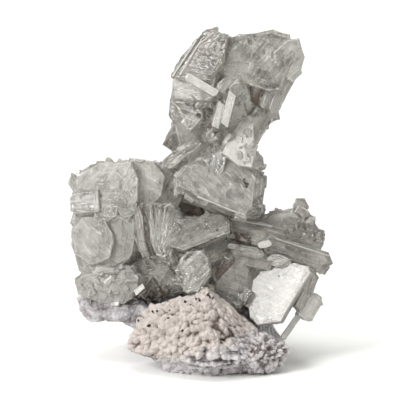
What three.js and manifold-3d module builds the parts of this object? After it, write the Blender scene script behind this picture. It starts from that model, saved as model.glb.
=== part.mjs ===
// Clear barite crystals grown on a piece of dolomite-covered rock, a cabinet specimen about 113 mm tall.
// Millimetres, +Z up, the specimen's front faces -Y. The origin is below its middle, on the flat cut underside.
// Two solids: "matrix", the rock with its druse of dolomite rhombs, and "barite_cluster", all the crystals,
// which grew through each other and so are one piece.
import * as THREE from "three";
import { mergeVertices } from "three/addons/utils/BufferGeometryUtils.js";
import Module from "manifold-3d";

const wasm = await Module();
wasm.setup();

// ---- driving dimensions, mm and degrees ----
const FOOTPRINT_MIDDLE = [-0.314, -6.707]; // X and Y of the box round everything, where the origin goes
const GAP = 0.35; // free space between a crystal and the rock it grows from
const PRISM_ANGLE = 50.8; // half the angle between barite's prism faces, which cuts a tablet's corners
const DOME_BEVEL = 0.26; // the bevel round a tablet's broad face, as a share of a layer's thickness
const BEVEL_LIMIT = 0.17; // and as a share of its width at most
const BEVELLED_FROM = 6; // narrower crystals are plain prisms
const LAYER_OVERLAP = 1.15; // layers of one crystal run into each other by this factor
const UNCUT_CORNERS = 0.3; // the share of a tablet's corners that stay square
const ROUND_CORNERS = 7;
const RHOMB_EDGE = [3.8, 5.4]; // smallest and largest dolomite rhomb on the druse
const RHOMB_SHEAR = 0.3; // how far a rhomb leans, the tangent of its 73 degree angle's complement

// ---- materials ----
const bariteFinish = new THREE.MeshStandardMaterial({ color: "#b4b5ae", roughness: 0.22, metalness: 0 });
const dolomiteFinish = new THREE.MeshStandardMaterial({ color: "#cfc4bd", roughness: 0.8, metalness: 0 });

// ---- crystals ----
// A row is one crystal: [centre, [turn, tilt, roll], [length, width, thickness], habit, layers].
// turn swings its broad face from the front (-Y) towards +X, tilt lifts the face towards +Z,
// and roll turns its long axis up from the horizontal. Layers are the sub-parallel plates it is built of.
const TOWER = [
  [[1.7, -9, 103], [-15, 10, 56], [21.5, 13.2, 7], "shield", 2], // crown tablet
  [[17, -1.5, 102.4], [8, 20, -18], [26.5, 21, 13], "hat", 2], // crown face
  [[29.5, -1.5, 102], [20, 12, 36], [13, 12.4, 9], "lobe", 1], // crown shoulder
  [[26, -5.5, 92.5], [30, 4, 62], [17, 3.5, 4], "blade", 1], // edge blade
  [[26.5, 3, 92.5], [32, 2, 54], [19.5, 5, 7], "blade", 1], // rear edge blade
  [[-1, -15.5, 96], [-5, 15, -24], [9, 2.6, 3], "tablet", 1], // white bar
  [[5.5, -16, 85], [5, -5, 79], [7.5, 2.8, 3.5], "prism", 1], // short prism
  [[9.5, -16, 88], [-8, -3, 79], [12.5, 3.4, 4], "prism", 1], // long prism
  [[10, -11.5, 93.5], [12, 22, 12], [10, 8, 5], "round", 1], // curved plates
  [[-0.5, -6, 93.5], [-20, 8, -2], [15, 8.5, 11], "tablet", 1], // left side of the shaft
  [[-1.5, -5, 86], [-20, 6, -4], [15.5, 10.5, 10], "tablet", 1], // lower left of the shaft
  [[-5, -3, 76.5], [-25, 6, 61], [11.5, 9, 8], "tablet", 1], // left tip
  [[4.5, 0, 78], [5, 5, 15], [24, 15, 17], "core", 1], // neck
  [[15.5, -10.5, 75], [8, 14, 67], [16, 11.5, 7], "wedge", 1], // rough wedge
  [[19, -0.5, 84], [22, 2, 55], [21.5, 8, 11], "tablet", 1], // right of the neck
  [[17.5, -6, 68.5], [20, 20, 40], [6, 5.5, 6], "tablet", 1], // chips under the wedge
  [[-3.5, -8, 73.5], [-8, 10, 38], [21, 4, 7], "blade", 1], // slanting bar
  [[11.5, 2, 89.5], [0, 0, 60], [30, 19, 13], "core", 1], // body of the shaft
  [[12, 9, 100], [170, 10, -25], [25, 17, 8], "round", 1], // back of the crown
  [[15, 11, 89.5], [200, 0, 60], [22, 15, 7], "tablet", 1], // back of the shaft
  [[5, 11, 77.5], [165, 5, 20], [20, 15, 8], "round", 1], // back of the neck
];
const MIDDLE = [
  [[4.5, -10.5, 60.5], [10, 28, -11], [25, 21.5, 8], "fan_plate", 3], // fan plate
  [[15, -4.5, 57.5], [28, 8, 77], [17, 9.5, 11], "tablet", 1], // end of the fan plate
  [[0.5, -7, 65.5], [-10, 20, 41], [21, 13.5, 8], "round", 1], // arched plate
  [[5, 6, 59], [0, 10, -20], [29, 19, 14], "core", 1], // below the fan plate
  [[1.5, 16, 60.5], [180, 10, 10], [28, 19, 8], "round", 1], // upper back
  [[8.5, 14, 46.5], [190, -5, -20], [28, 18, 8], "tablet", 1], // lower back
];
const LEFT_BLOCK = [
  [[-30, -2.5, 58.5], [-16, 14, 4], [21.5, 18.5, 14], "block", 2], // top left
  [[-19, 0.3, 58.7], [-4, 12, 87], [18.5, 15.5, 15], "block", 1], // top right
  [[-41, -2.5, 60], [-50, 5, -36], [7.5, 4.5, 4], "tablet", 1], // end plate
  [[-38, -9.5, 55], [-16, 12, 9], [10.5, 7.5, 5], "tablet", 1], // square plate
  [[-31, -9.2, 53], [-8, 12, 65], [7.8, 7.5, 4], "round", 1], // first scale
  [[-24.5, -8.6, 54.5], [-2, 14, -73], [9.8, 8, 4], "round", 1], // second scale
  [[-35, -9.6, 42.5], [-16, 8, -82], [17.5, 15.5, 7], "round", 1], // shell plate
  [[-26.5, -9.3, 41], [2, 12, 63], [13.8, 11.2, 6], "round", 1], // bright scale
  [[-30, 3, 39], [-10, 0, 85], [20, 21, 17], "core", 1], // heart of the block
  [[-31.3, -3, 42], [-8, 5, 85], [27.5, 22.5, 14], "block", 1], // wall of the block
  [[-29.7, -4, 27.5], [-10, -5, 5], [22.4, 12.5, 17], "round", 1], // low crust
  [[-19, -12, 46], [-40, 4, -73], [17.5, 5.5, 4], "crescent", 1], // edge plate
  [[-30.6, 17, 49.5], [200, 10, 15], [24, 20, 7], "tablet", 1], // left back
  [[-28, 17, 33.5], [170, -5, 70], [22, 19, 7], "round", 1], // left back low
];
const CENTRE = [
  [[-12, 1, 58], [10, 5, 60], [15, 12, 13], "tablet", 1], // brown-grey mass
  [[-14.5, -2, 30], [0, 0, 20], [18, 15, 14], "core", 1], // low heart
  [[-0.5, -12, 45.5], [-4, 26, 22], [22, 10.5, 8], "roof", 1], // roof plate
  [[-2, -17.5, 34], [-10, 6, 47], [13.5, 11.5, 5], "drop", 1], // hanging plate
  [[7, -2, 34], [0, 5, 30], [20, 17, 14], "core", 1], // dark heart
  [[10.5, -8.5, 29], [6, 8, -84], [17.5, 13, 9], "round", 1], // grey lump
];
const RIGHT_ARM = [
  [[32, -8.5, 38], [6, 12, -18], [26, 6.5, 7], "blade", 2], // long bar
  [[19.5, -6, 43.5], [3, 16, -16], [21.5, 8.5, 9], "tablet", 1], // upper bar
  [[31.5, 0.5, 45.7], [14, 6, -17], [23.5, 12.2, 7], "fan", 1], // back fan
  [[34, -1.5, 52.5], [18, 2, 50], [5.5, 4.5, 5], "tooth", 1], // peak
  [[40, -1.5, 42.5], [30, 0, 5], [4.2, 4, 4], "tooth", 1], // third tip
  [[39, -7, 33.5], [20, -10, -12], [8.5, 4.5, 7], "tablet", 1], // end of the long bar
  [[26.5, -12, 36], [0, 4, 0], [9.5, 6, 6], "round", 1], // lump under the bar
  [[14.5, -12.5, 39.5], [0, 5, -5], [9, 4.5, 6], "tablet", 1], // dark bar
  [[28, 10, 38.5], [190, 0, 15], [24, 14, 7], "tablet", 1], // back of the arm
  [[21, -1, 38], [0, 5, -17], [25, 12, 13], "core", 1], // heart of the arm
];
const FRONT_PLATE = [
  [[25.5, -13, 25.5], [-22, 22, 67], [26.5, 17.5, 5.5], "window", 1], // bright plate
  [[35, -11.5, 26.5], [28, 2, 66], [15.5, 4.6, 3.4], "prism", 1], // strip along its edge
  [[31.8, -8.5, 13.5], [6, 8, 50], [13, 2.6, 2.6], "blade", 1], // foot bar
  [[35.5, -7.5, 17.5], [15, 12, 50], [9.5, 6.5, 6], "tablet", 1], // crystal on the foot bar
  [[22, 1, 25], [0, 0, 60], [18, 14, 13], "core", 1], // root of the plate
];
// The cockscomb fan: blades that leave one root at these angles above the horizontal, with these lengths.
const FAN_ROOT = [-14, -9.5, 37];
const FAN_BLADES = [[106, 17.5], [93, 19], [80, 18.5], [68, 18], [54, 16.5], [38, 13]];
const FAN_SECTION = [4.4, 4.5]; // a blade's width and thickness
// Broad faces with an outline of their own, for half sizes of 1, anticlockwise, long axis along X.
const OUTLINES = {
  shield: [
    [-0.95, 0.25], [-0.3, -1], [0.35, -1], [1, -0.4],
    [0.95, 0.5], [0.7, 0.8], [-0.35, 1], [-1, 0.85],
  ],
  hat: [
    [-0.9, -0.7], [-0.55, -1], [0.65, -1], [0.9, -0.85], [1, 0.3],
    [0.75, 1], [0.3, 1], [-0.75, 0.3], [-1, -0.25],
  ],
  lobe: [
    [-0.95, 0.4], [-1, -0.4], [-0.8, -1], [-0.05, -0.8],
    [0.6, -0.35], [1, 0.65], [0.4, 1], [-0.65, 1],
  ],
  prism: [[-1, -0.6], [0.75, -1], [1, 0.5], [-0.8, 1]],
  wedge: [[0.1, 1], [-0.8, 1], [-1, -0.2], [-0.85, -1], [-0.35, -0.85], [0.9, 0.1], [1, 0.8]],
  fan_plate: [
    [-0.85, -0.5], [-0.3, -0.85], [0.45, -1], [1, -0.9], [1, 0],
    [0.8, 0.75], [0.2, 1], [-0.8, 0.55], [-1, -0.05],
  ],
  block: [
    [-0.95, -0.3], [-0.25, -0.9], [0.45, -1], [0.95, -0.45], [1, 0.4],
    [0.8, 1], [-0.2, 1], [-0.8, 0.7], [-1, 0.4],
  ],
  crescent: [
    [-0.35, -1], [0.3, -1], [1, -0.2], [1, 0.95],
    [0.35, 0.6], [-0.5, 1], [-1, 0.7], [-0.8, -0.3],
  ],
  roof: [
    [-1, -0.4], [-0.6, -1], [0.9, -0.95], [1, -0.2],
    [0.8, 0.45], [-0.15, 1], [-0.55, 0.9], [-0.9, 0.2],
  ],
  drop: [
    [-0.95, -0.1], [-1, -0.7], [-0.3, -1], [0.5, -0.8],
    [1, -0.15], [1, 0.5], [0.45, 1], [-0.6, 0.8],
  ],
  fan: [
    [-0.7, -1], [0.95, -1], [1, -0.55], [0.7, 0.25], [0.4, 0.6],
    [0.3, 1], [-0.15, 0.95], [-0.8, 0.2], [-1, -0.3],
  ],
  tooth: [[-1, -0.8], [0.4, -1], [1, 0.1], [0.7, 0.9], [0, 1], [-0.8, 0.5]],
  window: [
    [-0.95, 0.35], [-1, -0.4], [-0.55, -1], [0.9, -1], [1, -0.75],
    [0.85, -0.15], [0.3, 0.8], [-0.1, 1], [-0.45, 0.85],
  ],
};

// ---- the rock ----
// Lumps of rock: [centre, radii]. They are joined and cut off flat at Z = 0.
const NODULE = [[2, -19, 11.3], [25, 15.3, 16.5]];
const NODULE_FOOT = [[19.5, -19, 6.5], [11.5, 12, 8.5]];
const REAR_BASE = [[3, 3, 6], [24, 20, 16]];
const REAR_HUMP = [[-9, 8, 13], [15, 14, 11]];
const BRIDGE = [[-15, -4, 16], [13, 11, 8]];
const LEFT_BASE = [[-30, -2, 18.5], [12, 11, 7]];
const LEFT_CRUST = [[-24, 6, 18], [13, 12, 8]];
const FRONT_SCOOP = [[7, -34, -1], [13, 8, 3.2]]; // hollow under the nodule's front edge
const LUMP_ROUGHNESS = 0.11; // how far a lump's surface wanders, as a share of its radius
const LUMP_DETAIL = 2; // how often an icosahedron's edges are cut
const RHOMBS_ON_NODULE = 66;
const RHOMBS_ON_FOOT = 10;
const LOWEST_RHOMB = 1.8;

// A repeatable number from 0 to 1 for a seed and an index.
function chance(seed, index) {
  const s = Math.sin(seed * 127.1 + index * 311.7) * 43758.5453;
  return s - Math.floor(s);
}

// A three.js geometry with each corner stored once.
function welded(geometry) {
  geometry.deleteAttribute("normal");
  geometry.deleteAttribute("uv");
  return mergeVertices(geometry, 1e-5);
}

// A welded geometry as a solid that can be joined and cut.
function solidOf(geometry) {
  return new wasm.Manifold(
    new wasm.Mesh({
      numProp: 3,
      vertProperties: new Float32Array(geometry.attributes.position.array),
      triVerts: new Uint32Array(geometry.index.array),
    }),
  );
}

// A joined solid as a named mesh.
function meshOf(solid, name, material) {
  const { vertProperties, triVerts } = solid.getMesh();
  const geometry = new THREE.BufferGeometry();
  geometry.setAttribute("position", new THREE.BufferAttribute(new Float32Array(vertProperties), 3));
  geometry.setIndex(new THREE.BufferAttribute(new Uint32Array(triVerts), 1));
  geometry.computeVertexNormals();
  const mesh = new THREE.Mesh(geometry, material);
  mesh.name = name;
  return mesh;
}

function joinAll(solids) {
  return wasm.Manifold.union(solids);
}

// The largest of a solid's separate bodies: slivers that a cut leaves loose are dropped.
function mainBody(solid) {
  return solid.decompose().reduce((a, b) => (b.volume() > a.volume() ? b : a));
}

// A crystal's outline across its broad face, long axis along X, anticlockwise.
function outline(habit, length, width, seed) {
  const a = length / 2;
  const b = width / 2;
  if (habit === "blade") {
    const point = 0.8 * b;
    return [[a, 0], [a - point, b], [point - a, b], [-a, 0], [point - a, -b], [a - point, -b]];
  }
  if (habit in OUTLINES) return OUTLINES[habit].map(([x, y]) => [a * x, b * y]);
  if (habit === "tablet" || habit === "core") {
    // most corners of the rectangle are cut along a prism face
    const corners = [[a, -b], [a, b], [-a, b], [-a, -b]];
    return corners.flatMap(([x, y], i) => {
      if (chance(seed, i) < UNCUT_CORNERS) return [[x, y]];
      const cutY = b * (0.35 + 0.35 * chance(seed, i + 4));
      const cutX = cutY / Math.tan(THREE.MathUtils.degToRad(PRISM_ANGLE));
      const alongX = [x - Math.sign(x) * cutX, y];
      const alongY = [x, y - Math.sign(y) * cutY];
      return i % 2 ? [alongY, alongX] : [alongX, alongY];
    });
  }
  // round: corners on a squarish oval, each a little in or out
  return Array.from({ length: ROUND_CORNERS }, (_, i) => {
    const angle = ((i + 0.5 * chance(seed, i)) * 2 * Math.PI) / ROUND_CORNERS;
    const reach = 1 - 0.1 * chance(seed, i + 20);
    const [c, s] = [Math.cos(angle), Math.sin(angle)];
    const oval = 1 / (Math.abs(c) ** 2.6 + Math.abs(s) ** 2.6) ** (1 / 2.6);
    return [a * c * oval * reach, b * s * oval * reach];
  });
}

// One plate: an outline with bevelled rims on its two broad faces, lying in XY, centred on Z = 0.
function plate(points, thickness, bevel) {
  const shape = new THREE.Shape(points.map(([x, y]) => new THREE.Vector2(x, y)));
  const solid = new THREE.ExtrudeGeometry(shape, {
    depth: thickness - 2 * bevel,
    bevelEnabled: bevel > 0,
    bevelThickness: bevel,
    bevelSize: bevel,
    bevelOffset: -bevel,
    bevelSegments: 1,
  });
  return welded(solid).translate(0, 0, bevel - thickness / 2);
}

// The turn that takes a plate from XY to where its broad face looks: local Z to the face's direction,
// and local X to its long axis.
function pose([turn, tilt, roll], at) {
  const [t, e, r] = [turn, tilt, roll].map(THREE.MathUtils.degToRad);
  const normal = new THREE.Vector3(Math.sin(t) * Math.cos(e), -Math.cos(t) * Math.cos(e), Math.sin(e));
  const across = new THREE.Vector3(Math.cos(t), Math.sin(t), 0);
  const up = new THREE.Vector3().crossVectors(normal, across);
  const long = across.clone().multiplyScalar(Math.cos(r)).addScaledVector(up, Math.sin(r));
  const wide = new THREE.Vector3().crossVectors(normal, long);
  return new THREE.Matrix4().makeBasis(long, wide, normal).setPosition(...at);
}

// One crystal: layers stacked along its normal, each a little smaller, shifted and turned.
// A narrow one and a hidden core have square rims.
function crystal([at, angles, [length, width, thickness], habit, layers], seed) {
  const step = thickness / layers;
  const deep = layers > 1 ? step * LAYER_OVERLAP : step;
  const square = width < BEVELLED_FROM || habit === "core";
  const bevel = square ? 0 : Math.min(DOME_BEVEL * deep, BEVEL_LIMIT * width);
  const place = pose(angles, at);
  return Array.from({ length: layers }, (_, i) => {
    const size = i === layers - 1 ? 1 : 1 - 0.14 * chance(seed, 40 + i);
    const points = outline(habit, length * size, width * size, seed + i);
    const along = i * step + step / 2 - thickness / 2;
    const geometry = plate(points, deep, bevel)
      .rotateZ(THREE.MathUtils.degToRad(i ? 8 * (chance(seed, 50 + i) - 0.5) : 0))
      .translate(
        i ? 0.07 * length * (chance(seed, 60 + i) - 0.5) : 0,
        i ? 0.07 * width * (chance(seed, 70 + i) - 0.5) : 0,
        -along,
      )
      .applyMatrix4(place);
    return solidOf(geometry);
  });
}

// The fan's blades as crystal rows, each further forward than the one before.
function fanRows() {
  return FAN_BLADES.map(([angle, length], i) => {
    const a = THREE.MathUtils.degToRad(angle);
    const at = [
      FAN_ROOT[0] + (length / 2) * Math.cos(a),
      FAN_ROOT[1] - 0.6 * i,
      FAN_ROOT[2] + (length / 2) * Math.sin(a),
    ];
    return [at, [70 * Math.cos(a), 8, angle], [length, ...FAN_SECTION], "blade", 1];
  });
}

// Every crystal joined.
function crystalMass() {
  const rows = [...TOWER, ...MIDDLE, ...LEFT_BLOCK, ...CENTRE, ...fanRows(), ...RIGHT_ARM, ...FRONT_PLATE];
  return joinAll(rows.flatMap((row, i) => crystal(row, i + 1)));
}

// A lump of rock: an icosphere whose surface wanders in and out by a sum of sines.
// grow swells it on all sides.
function lump([centre, radii], seed, grow = 0) {
  const geometry = welded(new THREE.IcosahedronGeometry(1, LUMP_DETAIL));
  const position = geometry.attributes.position;
  const p = new THREE.Vector3();
  for (let i = 0; i < position.count; i += 1) {
    p.fromBufferAttribute(position, i);
    const wander = Math.sin(5 * p.x + seed) + Math.sin(6 * p.y + 2 * seed) + Math.sin(7 * p.z + 3 * seed);
    p.multiplyScalar(1 + (LUMP_ROUGHNESS / 2) * wander);
    position.setXYZ(i, p.x, p.y, p.z);
  }
  geometry.scale(...radii.map((r) => r + grow));
  geometry.translate(...centre);
  return solidOf(geometry);
}

// One dolomite rhomb: a cube leaned over along two axes, so that its faces are near-rhombs.
function rhomb(at, edge, seed) {
  const lean = new THREE.Matrix4().makeShear(0, RHOMB_SHEAR, 0, 0, RHOMB_SHEAR, 0);
  const turn = new THREE.Euler(...[1, 2, 3].map((k) => 2 * Math.PI * chance(seed, k)));
  const geometry = welded(new THREE.BoxGeometry(edge, edge, edge * 0.8))
    .applyMatrix4(lean)
    .applyMatrix4(new THREE.Matrix4().makeRotationFromEuler(turn))
    .translate(...at);
  return solidOf(geometry);
}

// Rhombs spread evenly over the front of a lump, on a spiral of equal steps in height.
// Those that would meet a crystal or reach under the rock are left out.
function druse([centre, radii], count, firstSeed, crystals) {
  const golden = Math.PI * (3 - Math.sqrt(5));
  const rhombs = [];
  for (let i = 0; i < count; i += 1) {
    const y = -1 + (1.35 * (i + 0.5)) / count; // from the frontmost point to just past the widest
    const ring = Math.sqrt(1 - y * y);
    const spot = [ring * Math.cos(golden * i), y, ring * Math.sin(golden * i)];
    const at = spot.map((s, k) => centre[k] + radii[k] * s);
    const edge = RHOMB_EDGE[0] + (RHOMB_EDGE[1] - RHOMB_EDGE[0]) * chance(firstSeed + i, 9);
    const clearance = rhomb(at, edge + 2 * GAP, firstSeed + i);
    if (at[2] > LOWEST_RHOMB && clearance.intersect(crystals).isEmpty()) {
      rhombs.push(rhomb(at, edge, firstSeed + i));
    }
  }
  return rhombs;
}

const LUMPS = [NODULE, NODULE_FOOT, REAR_BASE, REAR_HUMP, BRIDGE, LEFT_BASE, LEFT_CRUST];

// The crystals, cut off where they grow from the rock.
function bariteCluster() {
  const room = joinAll(LUMPS.map((row, i) => lump(row, i + 1, GAP)));
  return mainBody(crystalMass().subtract(room));
}

// The rock with its druse, cut flat below.
function matrix(crystals) {
  const lumps = LUMPS.map((row, i) => lump(row, i + 1));
  const crust = [
    ...druse(NODULE, RHOMBS_ON_NODULE, 300, crystals),
    ...druse(NODULE_FOOT, RHOMBS_ON_FOOT, 500, crystals),
  ];
  const below = solidOf(welded(new THREE.BoxGeometry(200, 200, 40)).translate(0, 0, -20));
  return mainBody(joinAll([...lumps, ...crust]).subtract(below).subtract(lump(FRONT_SCOOP, 9)));
}

const crystals = bariteCluster();
const specimen = new THREE.Group();
specimen.add(meshOf(crystals, "barite_cluster", bariteFinish));
specimen.add(meshOf(matrix(crystals), "matrix", dolomiteFinish));
specimen.position.set(-FOOTPRINT_MIDDLE[0], -FOOTPRINT_MIDDLE[1], 0);

export default specimen;
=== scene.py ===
"""Barite crystals grown on dolomite rock: the looks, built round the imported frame.

Metres, +Z up, the specimen's show side faces -Y. Crystals are closed surfaces, an outline carried through
a stack of rings, joined into one solid. The rock is craggy ellipsoids, two of them under a crust of knobs.
"""

import math

import bmesh
import bpy
import numpy as np
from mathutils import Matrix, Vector
from mathutils.bvhtree import BVHTree


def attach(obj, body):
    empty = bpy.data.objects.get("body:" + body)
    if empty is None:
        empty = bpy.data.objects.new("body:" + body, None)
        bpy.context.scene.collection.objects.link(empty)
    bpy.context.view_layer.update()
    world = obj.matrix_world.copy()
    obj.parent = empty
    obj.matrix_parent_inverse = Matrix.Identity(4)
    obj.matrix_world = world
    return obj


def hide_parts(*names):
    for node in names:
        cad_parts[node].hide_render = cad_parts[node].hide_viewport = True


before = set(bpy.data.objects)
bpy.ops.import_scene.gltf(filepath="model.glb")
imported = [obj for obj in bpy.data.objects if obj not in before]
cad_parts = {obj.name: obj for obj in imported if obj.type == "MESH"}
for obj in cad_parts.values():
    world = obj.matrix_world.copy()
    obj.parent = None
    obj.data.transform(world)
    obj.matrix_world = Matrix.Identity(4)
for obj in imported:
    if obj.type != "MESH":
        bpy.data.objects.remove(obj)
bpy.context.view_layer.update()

MM = 0.001
# The rows below count X and Y from the rock's own centre. The frame's origin is the footprint's middle.
FOOTPRINT_MIDDLE = np.array([-0.314, -6.707, 0.0])

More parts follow.
